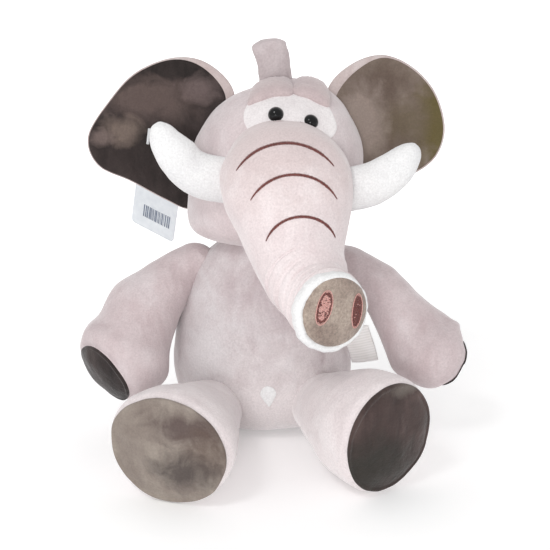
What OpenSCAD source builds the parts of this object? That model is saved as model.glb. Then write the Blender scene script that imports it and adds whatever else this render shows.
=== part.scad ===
// Seated plush elephant: sewn fabric skins over fibre fillings, with joints where the limbs are sewn on.
// Millimetres, +Z up, face towards -Y, the elephant's own left towards +X, resting face on Z = 0.
// Stuffed pieces are lofts through elliptical sections; a skin is a loft minus its own inset.

/* [Fabric] */
// thickness of a skin panel with its pile
fabric = 2; // [1.2:0.1:3]
// thickness of the thin satin-like cloth of the tusks and the tuft
thin_fabric = 1.4; // [0.8:0.1:2]
// room left around a sewn-on root so that it can swing
joint_gap = 0.9; // [0.5:0.1:1.5]
// room between a skin and what fills it
slack = 0.06; // [0.02:0.01:0.3]

/* [Torso] */
// width of the torso at its widest
torso_w = 118; // [100:1:140]
// depth of the torso at its widest
torso_d = 102; // [80:1:120]
// height of the neck pivot above the resting face
neck_z = 132; // [120:1:145]
// radius of the rounded neck end
neck_r = 20; // [16:0.5:24]

/* [Head] */
// width of the head across the cheeks
head_w = 113; // [95:1:130]
// depth of the head from face to back
head_d = 98; // [80:1:115]
// height of the crown
crown_z = 227.5; // [215:0.5:240]
// radius of a plastic eye
eye_r = 5; // [4:0.5:8]

/* [Trunk] */
// width of the trunk where it leaves the face
trunk_w = 78; // [60:1:90]
// radius of the trunk's end
tip_r = 23; // [18:0.5:28]
// width of the pale band around the trunk's end
band_w = 6; // [3:0.5:10]

/* [Ears and tusks] */
// thickness of an ear at its middle
ear_t = 10; // [6:0.5:16]
// half thickness of a tusk from front to back
tusk_t = 9.5; // [6:0.5:14]

/* [Arms and legs] */
// length of an arm from shoulder pivot to pad
arm_len = 88; // [60:1:100]
// half width of an arm at the hand
hand_r = 30; // [20:0.5:34]
// length of a leg from hip pivot to sole
leg_len = 104; // [90:1:125]
// radius of a foot
foot_r = 36; // [26:0.5:40]
// length of the tail
tail_len = 34; // [20:1:50]

/* [Labels] */
// width of the card tag
card_w = 38; // [30:1:50]
// height of the card tag
card_h = 44; // [35:1:60]
// width of the folded care label
label_w = 18; // [12:1:28]
// length of the folded care label
label_h = 26; // [18:1:40]

/* [Hidden] */

grey = [0.82, 0.76, 0.77];
pale = [0.93, 0.89, 0.89];
white = [0.96, 0.96, 0.96];
dark = [0.27, 0.22, 0.21];
brown = [0.60, 0.52, 0.48];
fibre = [0.97, 0.97, 0.95];
thread = [0.42, 0.15, 0.14];

// ---- pivots and swing ranges: [low, high] in degrees ----
neck_pivot = [2, 2, neck_z];
curl_pivot = [25, -93, 118];
curl_axis = [-0.93, -0.37, 0];
curl_range = [-15, 20];
shoulders = [[-50, -1, 107], [43, -1, 107]];
shoulder_yaw = [-55, 60];
shoulder_tilt = [132, 124];
shoulder_range = [-5, 50];
hips = [[-34, -28, 22], [28, -26, 24]];
hip_yaw = [-13, 21];
root_r = [15, 14.5];
hip_r = 17;
hip_tilt = [85, 84];
hip_range = [-20, 8];
tail_pivot = [-3, 45, 32];
tail_range = [-15, 30];
tuft_pivot = [5, 5, 228];
tuft_range = [-25, 25];
ear_pivots = [[-44.5, 13, 180], [57, 13, 185]];
ear_axes = [[0.21, 0, 0.98], [0.21, 0, -0.98]];
ear_range = [-15, 25];

// ---- small functions ----
function turn_x(v, a) = [v.x, v.y * cos(a) - v.z * sin(a), v.y * sin(a) + v.z * cos(a)];
function turn_z(v, a) = [v.x * cos(a) - v.y * sin(a), v.x * sin(a) + v.y * cos(a), v.z];
// a vector of a section's own frame in the object's frame: tilt about X first, then yaw about Z
function aim(v, tilt, yaw) = turn_z(turn_x(v, tilt), yaw);
function unit(v) = norm(v) < 1e-9 ? [0, 0, 0] : v / norm(v);
function held(list, i) = list[max(0, min(len(list) - 1, i))];
function smooth(p, q, r, s, t) =
    0.5 * (2 * q + (r - p) * t + (2 * p - 5 * q + 4 * r - s) * t * t + (3 * q - p - 3 * r + s) * t * t * t);
// stations are [x, y, z, half width, half height, tilt, yaw]
function eased(st, steps) = [
    for (i = [0:len(st) - 2], k = [0:steps - 1])
        smooth(held(st, i - 1), st[i], st[i + 1], held(st, i + 2), k / steps),
    st[len(st) - 1]
];
function section(s, sides) = [
    for (k = [0:sides - 1])
        let (a = 360 * k / sides)
        [s[0], s[1], s[2]] + aim([s[3] * cos(a), s[4] * sin(a), 0], s[5], s[6])
];
function closed_curve(p, steps) = [
    for (i = [0:len(p) - 1], k = [0:steps - 1])
        smooth(p[(i + len(p) - 1) % len(p)], p[i], p[(i + 1) % len(p)], p[(i + 2) % len(p)], k / steps)
];
// each point of a stack of rings moved out along its own normal, flat ends moved out square
function grown(rings, grow, flats) =
    let (m = len(rings), count = len(rings[0]))
    [for (i = [0:m - 1])
        let (cap = (i == 0 && flats[0]) ? unit(cross(rings[0][2] - rings[0][0], rings[0][1] - rings[0][0]))
            : (i == m - 1 && flats[1]) ? unit(cross(rings[i][1] - rings[i][0], rings[i][2] - rings[i][0]))
            : [0, 0, 0])
        [for (j = [0:count - 1])
            let (
                along = held(rings, i + 1)[j] - held(rings, i - 1)[j],
                around = rings[i][(j + 1) % count] - rings[i][(j + count - 1) % count],
                n = unit(cross(around, along))
            )
            rings[i][j] + grow * (norm(cap) < 0.5 ? n : unit(n - (n * cap) * cap) + cap)
        ]
    ];
// stations over a ball of radius r about p, from its back to its waist, facing along tilt and yaw
function ball_root(p, r, tilt, yaw) = [
    for (phi = [9, 28, 50, 72])
        let (c = p - aim([0, 0, r * cos(phi)], tilt, yaw))
        [c.x, c.y, c.z, r * sin(phi), r * sin(phi), tilt, yaw]
];
// one station at distance t from p along tilt and yaw
function out_at(p, t, tilt, yaw, ra, rb, tilt2, yaw2) =
    let (c = p + aim([0, 0, t], tilt, yaw))
    [c.x, c.y, c.z, ra, rb, tilt2 == undef ? tilt : tilt2, yaw2 == undef ? yaw : yaw2];

// ---- small modules ----
module stack(rings) {
    m = len(rings);
    n = len(rings[0]);
    points = [for (r = rings) for (p = r) p];
    sides = [
        for (i = [0:m - 2], j = [0:n - 1])
            for (f = [
                [i * n + j, (i + 1) * n + j, (i + 1) * n + (j + 1) % n],
                [i * n + j, (i + 1) * n + (j + 1) % n, i * n + (j + 1) % n]
            ]) f
    ];
    low = [for (j = [0:n - 1]) j];
    high = [for (j = [0:n - 1]) m * n - 1 - j];
    polyhedron(points = points, faces = concat(sides, [low, high]));
}
module loft(st, grow = 0, sides = 20, steps = 2, flats = [false, false]) {
    rings = [for (s = eased(st, steps)) section(s, sides)];
    stack(grown(rings, grow, flats));
}
// one sewn piece: its booleans are one faceted solid of unchanged size
module sewn() resize([0, 0, 0]) children();
module swung(p, axis, a) translate(p) rotate(a = a, v = axis) translate(-p) children();
// the room that a root needs: its ball at p and, at both ends of the swing and between, beads along it;
// each bead is [distance from p, radius]
module swing_room(p, ball, axis, range, tilt, yaw, beads) hull() {
    translate(p) sphere(ball + joint_gap, $fn = 24);
    for (k = [0, 0.5, 1], b = beads)
        swung(p, axis, range[0] + k * (range[1] - range[0]))
            translate(p + aim([0, 0, b[0]], tilt, yaw)) sphere(b[1] + joint_gap, $fn = 14);
}
// the children drawn in the frame of a section: its own Z is the direction of tilt and yaw
module facing(p, tilt, yaw) translate(p) rotate([0, 0, yaw]) rotate([tilt, 0, 0]) children();
module ellipsoid(c, r, grow = 0, sides = 20)
    translate(c) scale([r.x + grow, r.y + grow, r.z + grow]) sphere(1, $fn = sides);
// a bar along Y over the front of the object, from an ellipse in X and Z
module front_prism(c, rx, rz, turn = 0)
    translate([c.x, 0, c.y]) rotate([90, turn, 0]) scale([1, rz / rx, 1]) cylinder(r = rx, h = 150, $fn = 28);

// ---- torso ----
tw = torso_w / 2;
td = torso_d / 2;
torso_stations = [
    [-1, 3, 0, 0.60 * tw, 0.56 * td, 0, 0],
    [-2, 1, 6, 0.80 * tw, 0.80 * td, 0, 0],
    [-4, 0, 22, 0.96 * tw, 0.97 * td, 0, 0],
    [-5, -1, 45, tw, td, 0, 0],
    [-4, 0, 70, 0.96 * tw, 0.97 * td, 0, 0],
    [-3, 1, 95, 0.87 * tw, 0.83 * td, 0, 0],
    [-1, 2, 112, 0.76 * tw, 0.68 * td, 0, 0],
    [1, 2, 121, 0.56 * tw, 0.52 * td, 0, 0],
    [2, 2, neck_z - 8, 18.3, 18.3, 0, 0],
    [2, 2, neck_z, neck_r, neck_r, 0, 0],
    [2, 2, neck_z + neck_r * sin(35), neck_r * cos(35), neck_r * cos(35), 0, 0],
    [2, 2, neck_z + neck_r * sin(62), neck_r * cos(62), neck_r * cos(62), 0, 0],
    [2, 2, neck_z + neck_r * sin(80), neck_r * cos(80), neck_r * cos(80), 0, 0]
];
module torso_body(grow = 0) loft(torso_stations, grow, 22, 1, [true, false]);
module torso_rooms() {
    for (i = [0, 1]) {
        swing_room(
            shoulders[i], root_r[i], swing_axis(shoulder_yaw[i]), shoulder_range, shoulder_tilt[i], shoulder_yaw[i],
            i == 0 ? [[26, 20.5], [50, 27]] : [[24, 17], [48, 21]]
        );
        swing_room(
            hips[i], hip_r, swing_axis(hip_yaw[i]), hip_range, hip_tilt[i], hip_yaw[i],
            [[19, 20], [41, 25.6]]
        );
    }
    swing_room(tail_pivot, 6, [1, 0, 0], tail_range, tail_tilt, 180, [[12, 5.6]]);
}
module torso_skin() color(grey) sewn() difference() {
    torso_body();
    torso_body(-fabric);
    torso_rooms();
}
module pouch(grow = 0) ellipsoid([-3, 9, 15], [20, 18, 8], grow, 14);
module torso_filling() color(fibre) sewn() difference() {
    torso_body(-fabric - slack);
    torso_rooms();
    pouch(0.25);
    translate([-3, 9, -3]) cylinder(h = 14, r = 4, $fn = 12); // gap in the filling below the pouch
}
module seat_pouch() color(white) sewn() pouch();
module belly_button() color(white) sewn() intersection() {
    difference() {
        torso_body(1.3);
        torso_body(0.1);
    }
    union() {
        front_prism([-1, 37], 5, 6);
        front_prism([-0.5, 32.5], 2.6, 4);
    }
}
module care_label() color(white)
    translate([58, -26, 61]) rotate([12, -12, -24]) {
        translate([-label_w / 2, -0.9, -label_h / 2]) cube([label_w, 0.7, label_h]);
        translate([-label_w / 2, 0.2, -label_h / 2]) cube([label_w, 0.7, label_h]);
        translate([-label_w / 2, -0.3, -label_h / 2]) cube([label_w, 0.6, 0.8]);
    }

// ---- neck ----
module neck_thread() color(white)
    translate([neck_pivot.x, neck_pivot.y, neck_z - 6])
        rotate_extrude($fn = 64) translate([sqrt(pow(neck_r + 1.8, 2) - 36), 0]) circle(r = 0.9, $fn = 24);

// ---- head ----
hw = head_w / 2;
hd = head_d / 2;
head_stations = [
    [3, 0, 129, 0.64 * hw, 0.66 * hd, 0, 0],
    [4, 0, 136, 0.86 * hw, 0.84 * hd, 0, 0],
    [5, 0, 150, 0.98 * hw, 0.97 * hd, 0, 0],
    [6.5, 0, 170, hw, hd, 0, 0],
    [8.5, 0, 190, 0.93 * hw, 0.95 * hd, 0, 0],
    [11, 0, 206, 0.76 * hw, 0.82 * hd, 0, 0],
    [12.5, 1, 217.5, 0.53 * hw, 0.60 * hd, 0, 0],
    [13.5, 3, crown_z - 2.6, 0.26 * hw, 0.30 * hd, 0, 0],
    [13.5, 4, crown_z, 0.06 * hw, 0.07 * hd, 0, 0]
];
eye_spots = [[25.5, -36.5, 206.5], [3, -36.8, 211]];
eye_turn = [10, -8];
module head_body(grow = 0) loft(head_stations, grow, 22, 1, [true, false]);
module neck_room() translate(neck_pivot) sphere(neck_r + 3.6, $fn = 26);
module at_eye(i) translate(eye_spots[i]) rotate([90, 0, eye_turn[i]]) children();
module eye_room(i) at_eye(i) {
    sphere(eye_r + 0.2, $fn = 20);
    translate([0, 0, -16]) cylinder(r = 1.75, h = 16, $fn = 16);
}
module head_skin() color(grey) sewn() difference() {
    head_body();
    head_body(-fabric);
    neck_room();
    eye_room(0);
    eye_room(1);
}
module head_filling() color(fibre) sewn() difference() {
    head_body(-fabric - slack);
    neck_room();
    for (i = [0, 1]) {
        eye_room(i);
        at_eye(i) translate([0, 0, -17]) cylinder(r = 5.6, h = 17, $fn = 16);
    }
}
module eye(i) color([0.03, 0.03, 0.03]) at_eye(i) difference() {
    union() {
        sphere(eye_r, $fn = 48);
        translate([0, 0, -15]) cylinder(r = 1.5, h = 15, $fn = 24);
    }
    translate([0, 0, -eye_r - 0.01]) difference() {
        cylinder(r = eye_r + 1, h = 3.6, $fn = 48);
        translate([0, 0, -1]) cylinder(r = 1.5, h = 6, $fn = 24);
    }
}
module eye_left() eye(0);
module eye_right() eye(1);
module eye_washer(i) color(white) at_eye(i) translate([0, 0, -13.5]) difference() {
    cylinder(r = 5, h = 1.5, $fn = 48);
    translate([0, 0, -1]) cylinder(r = 1.62, h = 4, $fn = 24);
}
module eye_washer_left() eye_washer(0);
module eye_washer_right() eye_washer(1);
brow_c = [[26, -27, 221], [-0.5, -28.5, 223]];
brow_size = [[13.5, 11, 10], [14.5, 11, 10.5]];
module brow_body(i, grow = 0) ellipsoid(brow_c[i], brow_size[i], grow);
module brow(i) color(grey) sewn() difference() {
    brow_body(i);
    head_body(0.1);
    trunk_body(0.1);
    if (i == 1) brow_body(0, 0.1);
    eye_room(0);
    eye_room(1);
}
module brow_left() brow(0);
module brow_right() brow(1);
module eye_band() color(white) sewn() difference() {
    intersection() {
        difference() {
            head_body(1.4);
            head_body(0.1);
        }
        front_prism([13, 209], 29, 11, 10);
    }
    trunk_body(0.1);
    brow_body(0, 0.1);
    brow_body(1, 0.1);
    eye_room(0);
    eye_room(1);
}

// ---- tusks ----
tusk_stations = [
    [
        [40, -38, 163, 14, tusk_t, 90, 90],
        [60, -41, 167.5, 13.5, tusk_t, 78, 90],
        [74, -42, 176, 12, tusk_t, 50, 90],
        [83, -42, 186, 8.5, 0.75 * tusk_t, 34, 90],
        [85.6, -42, 191, 4.5, 0.4 * tusk_t, 20, 90],
        [86, -42, 193, 1, 1, 15, 90]
    ],
    [
        [-22, -38, 169, 14, tusk_t, 90, -90],
        [-43, -42, 174, 14, tusk_t, 76, -90],
        [-55, -44, 185, 12.5, tusk_t, 46, -90],
        [-62, -45, 196, 9.5, 0.75 * tusk_t, 24, -90],
        [-64.5, -45, 203, 6, 0.45 * tusk_t, 10, -90],
        [-65, -45, 206, 1, 1, 5, -90]
    ]
];
// in a tusk's section the half width lies in the plane of the curve and the half height across it
function tusk_ring(s, sides) = [
    for (k = [0:sides - 1])
        let (a = 360 * k / sides)
        [s[0], s[1], s[2]] + aim([s[4] * cos(a), s[3] * sin(a), 0], s[5], s[6])
];
module tusk_body(i, grow = 0) {
    rings = [for (s = eased(tusk_stations[i], 2)) tusk_ring(s, 14)];
    stack(grown(rings, grow, [false, false]));
}
module tusk_skin(i) color(white) sewn() difference() {
    tusk_body(i);
    tusk_body(i, -thin_fabric);
    head_body(0.1);
    trunk_body(0.1);
}
module tusk_filling(i) color(fibre) sewn() difference() {
    tusk_body(i, -thin_fabric - slack);
    head_body(0.1);
    trunk_body(0.1);
}
module tusk_left_skin() tusk_skin(0);
module tusk_right_skin() tusk_skin(1);
module tusk_left_filling() tusk_filling(0);
module tusk_right_filling() tusk_filling(1);

// ---- trunk, the sewn panel from the face to the crease ----
kw = trunk_w / 2;
trunk_stations = [
    [9, -30, 176, 0.95 * kw, 31, 100, 0],
    [10, -49, 172, kw, 33, 115, 2],
    [11.5, -62, 160, 0.98 * kw, 31, 132, 4],
    [13.5, -70, 146, 0.84 * kw, 28, 146, 6],
    [16, -77, 134, 0.71 * kw, 26, 145, 10],
    [19, -83.5, 125.8, 0.65 * kw, 25.2, 130, 16],
    [22.3, -88.8, 120.4, 0.65 * kw, 25, 118, 19]
];
module trunk_body(grow = 0) loft(trunk_stations, grow, 20, 1, [false, true]);
module tip_room()
    swing_room(curl_pivot, 19.5, curl_axis, curl_range, 108, 20.5, [[3.5, 19.2], [12, 20.6]]);
module trunk_skin() color(pale) sewn() difference() {
    trunk_body();
    trunk_body(-fabric);
    head_body(0.1);
    tip_room();
}
module trunk_filling() color(fibre) sewn() difference() {
    trunk_body(-fabric - slack);
    head_body(0.1);
    tip_room();
}
// a raised line of stitching: an arc in X and Z of radius r about c, laid over the trunk
module wrinkle(c, r, from, to) color(thread) sewn() intersection() {
    difference() {
        trunk_body(1);
        trunk_body(0.1);
    }
    translate([c.x, -50, c.y]) rotate([90, 0, 0]) rotate([0, 0, from])
        rotate_extrude(angle = to - from, $fn = 60) translate([r - 0.9, 0]) square([1.8, 100]);
}
module wrinkle_upper() wrinkle([10, 162.5], 34.5, 31, 150);
module wrinkle_middle() wrinkle([14, 153], 28, 20, 155);
module wrinkle_lower() wrinkle([18, 138], 21, 18, 160);

// ---- trunk end ----
tip_tilt = 88;
tip_yaw = 22;
tip_face = [36.8, -118.3, 112.5];
tip_stations = concat(
    ball_root(curl_pivot, 19.5, 112, 20),
    [
        [26.8, -97.5, 116.3, 20, 20, 108, 20.5],
        [29.5, -102.5, 114.8, 21.4, 21.4, 99, 21.5],
        [32.2, -107.6, 113.4, tip_r, tip_r, 92, 22],
        [34.3, -112.2, 112.7, tip_r, tip_r, tip_tilt, tip_yaw]
    ]
);
module tip_body(grow = 0) loft(tip_stations, grow, 20, 1, [false, true]);
module trunk_tip_skin() color(pale) sewn() difference() {
    tip_body();
    tip_body(-fabric);
    at_tip(band_w + 3) cylinder(r = tip_r - 3.6, h = 4, $fn = 48);
}
module trunk_tip_filling() color(fibre) sewn() tip_body(-fabric - slack);
module at_tip(back) facing(tip_face - aim([0, 0, back], tip_tilt, tip_yaw), tip_tilt, tip_yaw) children();
module trunk_band() color(white) at_tip(band_w) rotate_extrude($fn = 64)
    polygon([
        [tip_r - 3.5, 0], [tip_r + 0.6, 0], [tip_r + 1, 2], [tip_r + 0.6, 4.2], [tip_r - 0.8, 5.5],
        [tip_r - 3.5, 6]
    ]);
module trunk_disc() color(brown) at_tip(1.8) cylinder(r = tip_r - 3.6, h = 1.8, $fn = 64);
module nostril(x, turn) color(thread) at_tip(-0.1) translate([x, 1, 0]) rotate([0, 0, turn])
    scale([1, 2.2, 1]) cylinder(r = 3.4, h = 1, $fn = 40);
module nostril_left() nostril(9, 4);
module nostril_right() nostril(-9, 10);

// ---- ears ----
ear_outlines = [
    [
        [46, 200], [52, 180], [62, 166], [77, 160], [96, 166], [109, 178],
        [113, 196], [106, 218], [91, 234], [72, 241.5], [53, 236], [40, 221]
    ],
    [
        [-26, 216], [-41, 235], [-62, 239], [-85, 231], [-103, 213], [-117.5, 190],
        [-112, 171], [-91, 160], [-69, 148], [-51, 142], [-40, 160], [-32, 190]
    ]
];
ear_middles = [[80, 200], [-76, 195]];
// a ring of the ear's sheet at the fraction s of its outline, at depth d in front of its middle plane
function ear_ring(i, s, d) = [
    for (p = closed_curve(ear_outlines[i], 2))
        let (q = ear_middles[i] * (1 - s) + p * s, x = q.x - ear_middles[i].x)
        [q.x, 14 - d - 0.002 * x * x, q.y]
];
module ear_layer(i, low_edge, low_mid, high_edge, high_mid, size = 1) {
    parts = [0.2, 0.6, 0.9, 1];
    low = [for (s = parts) ear_ring(i, s * size, low_edge + low_mid * sqrt(1 - s * s))];
    high = [for (k = [3:-1:0]) ear_ring(i, parts[k] * size, high_edge + high_mid * sqrt(1 - pow(parts[k], 2)))];
    sewn() difference() {
        stack(concat(low, high));
        for (a = ear_range)
            swung(ear_pivots[1 - i], ear_axes[1 - i], a) head_body(joint_gap);
        head_body(joint_gap);
        if (i == 1) pin_shape(0.2);
    }
}
ear_h = ear_t / 2;
module ear_front(i) color(dark) ear_layer(i, 0.05, ear_h - 2, 1.5, ear_h - 1.5);
module ear_back(i) color(grey) ear_layer(i, -1.5, 1.5 - ear_h, -0.05, 2 - ear_h);
module ear_wadding(i) color(fibre) ear_layer(i, -0.3, 2.3 - ear_h, 0.3, ear_h - 2.3, 0.93);
module ear_left_front() ear_front(0);
module ear_left_back() ear_back(0);
module ear_left_wadding() ear_wadding(0);
module ear_right_front() ear_front(1);
module ear_right_back() ear_back(1);
module ear_right_wadding() ear_wadding(1);

// ---- card tag on its moulded pin ----
pin_top = [-78, 14, 190.5];
pin_low = [-76, 36, 155.5];
card_tilt = [8, 12, -32];
module pin_shape(grow = 0) {
    translate(pin_top - [0, 10, 0]) rotate([-90, 0, 0]) cylinder(r = 0.7 + grow, h = 20, $fn = 20);
    translate(pin_top + [0, -9, -5]) cylinder(r = 0.9 + grow, h = 10, $fn = 20);
    hull() {
        translate(pin_top + [0, 10, 0]) sphere(0.7 + grow, $fn = 16);
        translate(pin_low - [0, 3, 0]) sphere(0.7 + grow, $fn = 16);
    }
    translate(pin_low - [0, 3, 0]) rotate([-90, 0, 0]) cylinder(r = 0.7 + grow, h = 7, $fn = 20);
    translate(pin_low + [0, 4, -3]) cylinder(r = 0.9 + grow, h = 6, $fn = 20);
}
module tag_pin() color(white) pin_shape();
module swing_tag() color(white) translate(pin_low) rotate(card_tilt) difference() {
    translate([-card_w / 2, -0.4, 5 - card_h]) cube([card_w, 0.8, card_h]);
    rotate([90, 0, 0]) cylinder(r = 2.6, h = 6, center = true, $fn = 32);
}

// ---- tuft on the crown ----
tuft_stations = [
    [5.5, 5, 224, 10, 5, 0, 0],
    [5, 5, 230, 10, 5, 0, 0],
    [4, 5, 238, 11, 5.2, 0, 0],
    [2.5, 5, 246, 12, 5.2, 0, 0],
    [2, 5, 249.5, 10.5, 4.4, 0, 0],
    [2, 5, 251.4, 6.5, 2.7, 0, 0]
];
module tuft_body(grow = 0) loft(tuft_stations, grow, 16, 1, [true, false]);
module tuft_cut() head_body(2.6);
module tuft_skin() color(grey) sewn() difference() {
    tuft_body();
    tuft_body(-0.8);
    tuft_cut();
}
module tuft_filling() color(fibre) sewn() difference() {
    tuft_body(-0.8 - slack);
    tuft_cut();
}

// ---- arms: index 0 is the elephant's right (-X), 1 its left (+X) ----
function swing_axis(yaw) = [-cos(yaw), -sin(yaw), 0];
// each row is a station; reach stretches the rows away from the root and girth thickens them
function limb_rows(p, rows, reach, girth) = [
    for (r = rows) [
        p.x + (r[0] - p.x) * reach, p.y + (r[1] - p.y) * reach, p.z + (r[2] - p.z) * reach,
        r[3] * girth, r[4] * girth, r[5], r[6]
    ]
];
arm_rows = [
    [
        [-59, -4, 103.5, 15.5, 15.5, 130, -56],
        [-68, -8, 96, 19, 18.5, 136, -52],
        [-79, -14, 84, 22.5, 21.5, 140, -48],
        [-87, -23, 69, 26.5, 25.5, 138, -46],
        [-92, -30, 57.5, 29.8, 28.3, 133, -45],
        [-99.5, -37, 49.8, 26.8, 26, 122, -43],
        [-103.5, -41, 46.8, 21.5, 21, 114, -42]
    ],
    [
        [52, -4, 106, 14.8, 14.5, 120, 62],
        [65.5, -9.5, 98, 15.8, 15.5, 128, 60],
        [76.5, -15.5, 88.5, 16.5, 15.8, 134, 58],
        [88, -24, 74, 21, 20, 134, 58],
        [98, -30.5, 61.5, 25.2, 24, 128, 60],
        [108.5, -36.5, 56.5, 23.5, 22.5, 118, 70],
        [113, -39, 54.2, 20, 19.5, 116, 82]
    ]
];
function arm_stations(i) = concat(
    ball_root(shoulders[i], root_r[i], shoulder_tilt[i], shoulder_yaw[i]),
    limb_rows(shoulders[i], arm_rows[i], arm_len / 88, hand_r / 30)
);
module arm_body(i, grow = 0) loft(arm_stations(i), grow, 18, 1, [false, true]);
// a disc set into the flat end of a limb whose last station is st
module end_disc(st, share, grow, deep)
    facing([st[0], st[1], st[2]] - aim([0, 0, deep], st[5], st[6]), st[5], st[6])
        scale([1, st[4] / st[3], 1]) cylinder(r = share * st[3] + grow, h = deep + 0.01, $fn = 40);
module pad_shape(i, grow, deep) end_disc(arm_stations(i)[len(arm_stations(i)) - 1], 0.86, grow, deep);
module arm_skin(i) color(grey) sewn() difference() {
    arm_body(i);
    arm_body(i, -fabric);
    pad_shape(i, 0.12, fabric + 0.3);
}
module arm_filling(i) color(fibre) sewn() difference() {
    arm_body(i, -fabric - slack);
    pad_shape(i, 0.12, fabric + 0.3);
}
module hand_pad(i) color(dark) pad_shape(i, 0, fabric);
module arm_right_skin() arm_skin(0);
module arm_left_skin() arm_skin(1);
module arm_right_filling() arm_filling(0);
module arm_left_filling() arm_filling(1);
module hand_pad_right() hand_pad(0);
module hand_pad_left() hand_pad(1);

// ---- legs: index 0 is the elephant's right (-X), 1 its left (+X) ----
leg_rows = [
    [
        [-38, -46, 24.5, 20, 19.5, 88, -13],
        [-43, -68, 27, 25.5, 24, 88, -14],
        [-48.5, -92, 29.5, 32, 29, 89, -16],
        [-52.5, -108, 31.3, 35.5, 31.2, 90, -18],
        [-54.8, -119, 32.2, 36.5, 32.2, 92, -20],
        [-56.3, -128.5, 32.6, 33.5, 30.3, 93, -21]
    ],
    [
        [33, -42, 26.5, 20, 20, 86, 21],
        [41, -62, 29.5, 24.5, 25, 87, 23],
        [50.5, -84, 32.8, 29.5, 31.5, 88, 27],
        [57, -98, 34.8, 31.8, 34.8, 89, 30],
        [61.5, -107.5, 35.6, 31.5, 35.2, 90, 33],
        [66, -116.5, 36.6, 28.8, 32.5, 90, 35]
    ]
];
function leg_stations(i) = concat(
    ball_root(hips[i], hip_r, hip_tilt[i], hip_yaw[i]),
    limb_rows(hips[i], leg_rows[i], leg_len / 104, foot_r / 36)
);
module leg_body(i, grow = 0) loft(leg_stations(i), grow, 18, 1, [false, true]);
module sole_shape(i, grow, deep) end_disc(leg_stations(i)[len(leg_stations(i)) - 1], 0.94, grow, deep);
module leg_skin(i) color(grey) sewn() difference() {
    leg_body(i);
    leg_body(i, -fabric);
    sole_shape(i, 0.16, fabric + 0.3);
}
module leg_filling(i) color(fibre) sewn() difference() {
    leg_body(i, -fabric - slack);
    sole_shape(i, 0.16, fabric + 0.3);
}
module sole(i) color(i == 0 ? brown : dark) sole_shape(i, 0, fabric);
module leg_right_skin() leg_skin(0);
module leg_left_skin() leg_skin(1);
module leg_right_filling() leg_filling(0);
module leg_left_filling() leg_filling(1);
module sole_right() sole(0);
module sole_left() sole(1);

// ---- tail ----
tail_tilt = 122;
function tail_stations() =
    let (p = tail_pivot, t = tail_tilt)
    concat(
        ball_root(p, 6, t, 180),
        [
            out_at(p, 1, t, 180, 6, 6),
            out_at(p, 0.35 * tail_len, t, 180, 5.4, 5.4),
            out_at(p, 0.70 * tail_len, t, 180, 4.8, 4.8),
            out_at(p, tail_len, t, 180, 4.4, 4.4)
        ]
    );
module tail_body(grow = 0) loft(tail_stations(), grow, 12, 1, [false, true]);
module tail_skin() color(grey) sewn() difference() {
    tail_body();
    tail_body(-thin_fabric);
    facing(tail_pivot + aim([0, 0, tail_len - 4], tail_tilt, 180), tail_tilt, 180)
        cylinder(r = 2, h = 6, $fn = 16);
}
module tail_filling() color(fibre) sewn() tail_body(-thin_fabric - slack);
module tail_tip() color(dark)
    facing(tail_pivot + aim([0, 0, tail_len + 0.1], tail_tilt, 180), tail_tilt, 180)
        rotate_extrude($fn = 32) polygon([[0, 0], [4.6, 0], [6.4, 4], [6, 8], [3.4, 12], [0, 14]]);

torso_skin();
torso_filling();
seat_pouch();
belly_button();
care_label();
neck_thread();
head_skin();
head_filling();
eye_band();
brow_left();
brow_right();
eye_left();
eye_right();
eye_washer_left();
eye_washer_right();
tusk_left_skin();
tusk_left_filling();
tusk_right_skin();
tusk_right_filling();
trunk_skin();
trunk_filling();
wrinkle_upper();
wrinkle_middle();
wrinkle_lower();
trunk_tip_skin();
trunk_tip_filling();
trunk_band();
trunk_disc();
nostril_left();
nostril_right();
ear_left_front();
ear_left_back();
ear_left_wadding();
ear_right_front();
ear_right_back();
ear_right_wadding();
tag_pin();
swing_tag();
tuft_skin();
tuft_filling();
arm_left_skin();
arm_left_filling();
hand_pad_left();
arm_right_skin();
arm_right_filling();
hand_pad_right();
leg_left_skin();
leg_left_filling();
sole_left();
leg_right_skin();
leg_right_filling();
sole_right();
tail_skin();
tail_filling();
tail_tip();
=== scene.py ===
"""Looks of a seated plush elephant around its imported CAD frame."""

import math

import bpy
import numpy as np
from mathutils import Matrix, Vector
from mathutils.bvhtree import BVHTree


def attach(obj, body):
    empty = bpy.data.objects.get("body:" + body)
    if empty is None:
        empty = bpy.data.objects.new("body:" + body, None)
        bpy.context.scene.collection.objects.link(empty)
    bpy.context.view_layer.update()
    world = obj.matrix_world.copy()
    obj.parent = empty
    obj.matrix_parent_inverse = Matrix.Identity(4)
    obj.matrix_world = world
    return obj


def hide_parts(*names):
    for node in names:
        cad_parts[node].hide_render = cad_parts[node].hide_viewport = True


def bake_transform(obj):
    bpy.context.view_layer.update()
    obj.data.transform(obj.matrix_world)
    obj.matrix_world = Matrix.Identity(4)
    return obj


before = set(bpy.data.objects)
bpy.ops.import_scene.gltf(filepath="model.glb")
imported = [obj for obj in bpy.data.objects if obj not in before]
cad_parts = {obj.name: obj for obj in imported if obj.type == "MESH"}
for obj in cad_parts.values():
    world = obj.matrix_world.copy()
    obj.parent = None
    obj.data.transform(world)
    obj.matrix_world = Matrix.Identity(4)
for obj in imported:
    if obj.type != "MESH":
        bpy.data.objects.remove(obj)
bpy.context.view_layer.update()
MM = 0.001
scene = bpy.context.scene

# ---------------------------------------------------------------- geometry helpers (all in millimetres)


def unit(v):
    """Vectors of any stack, scaled to length one."""
    v = np.asarray(v, float)
    return v / np.maximum(np.linalg.norm(v, axis=-1, keepdims=True), 1e-9)


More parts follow.
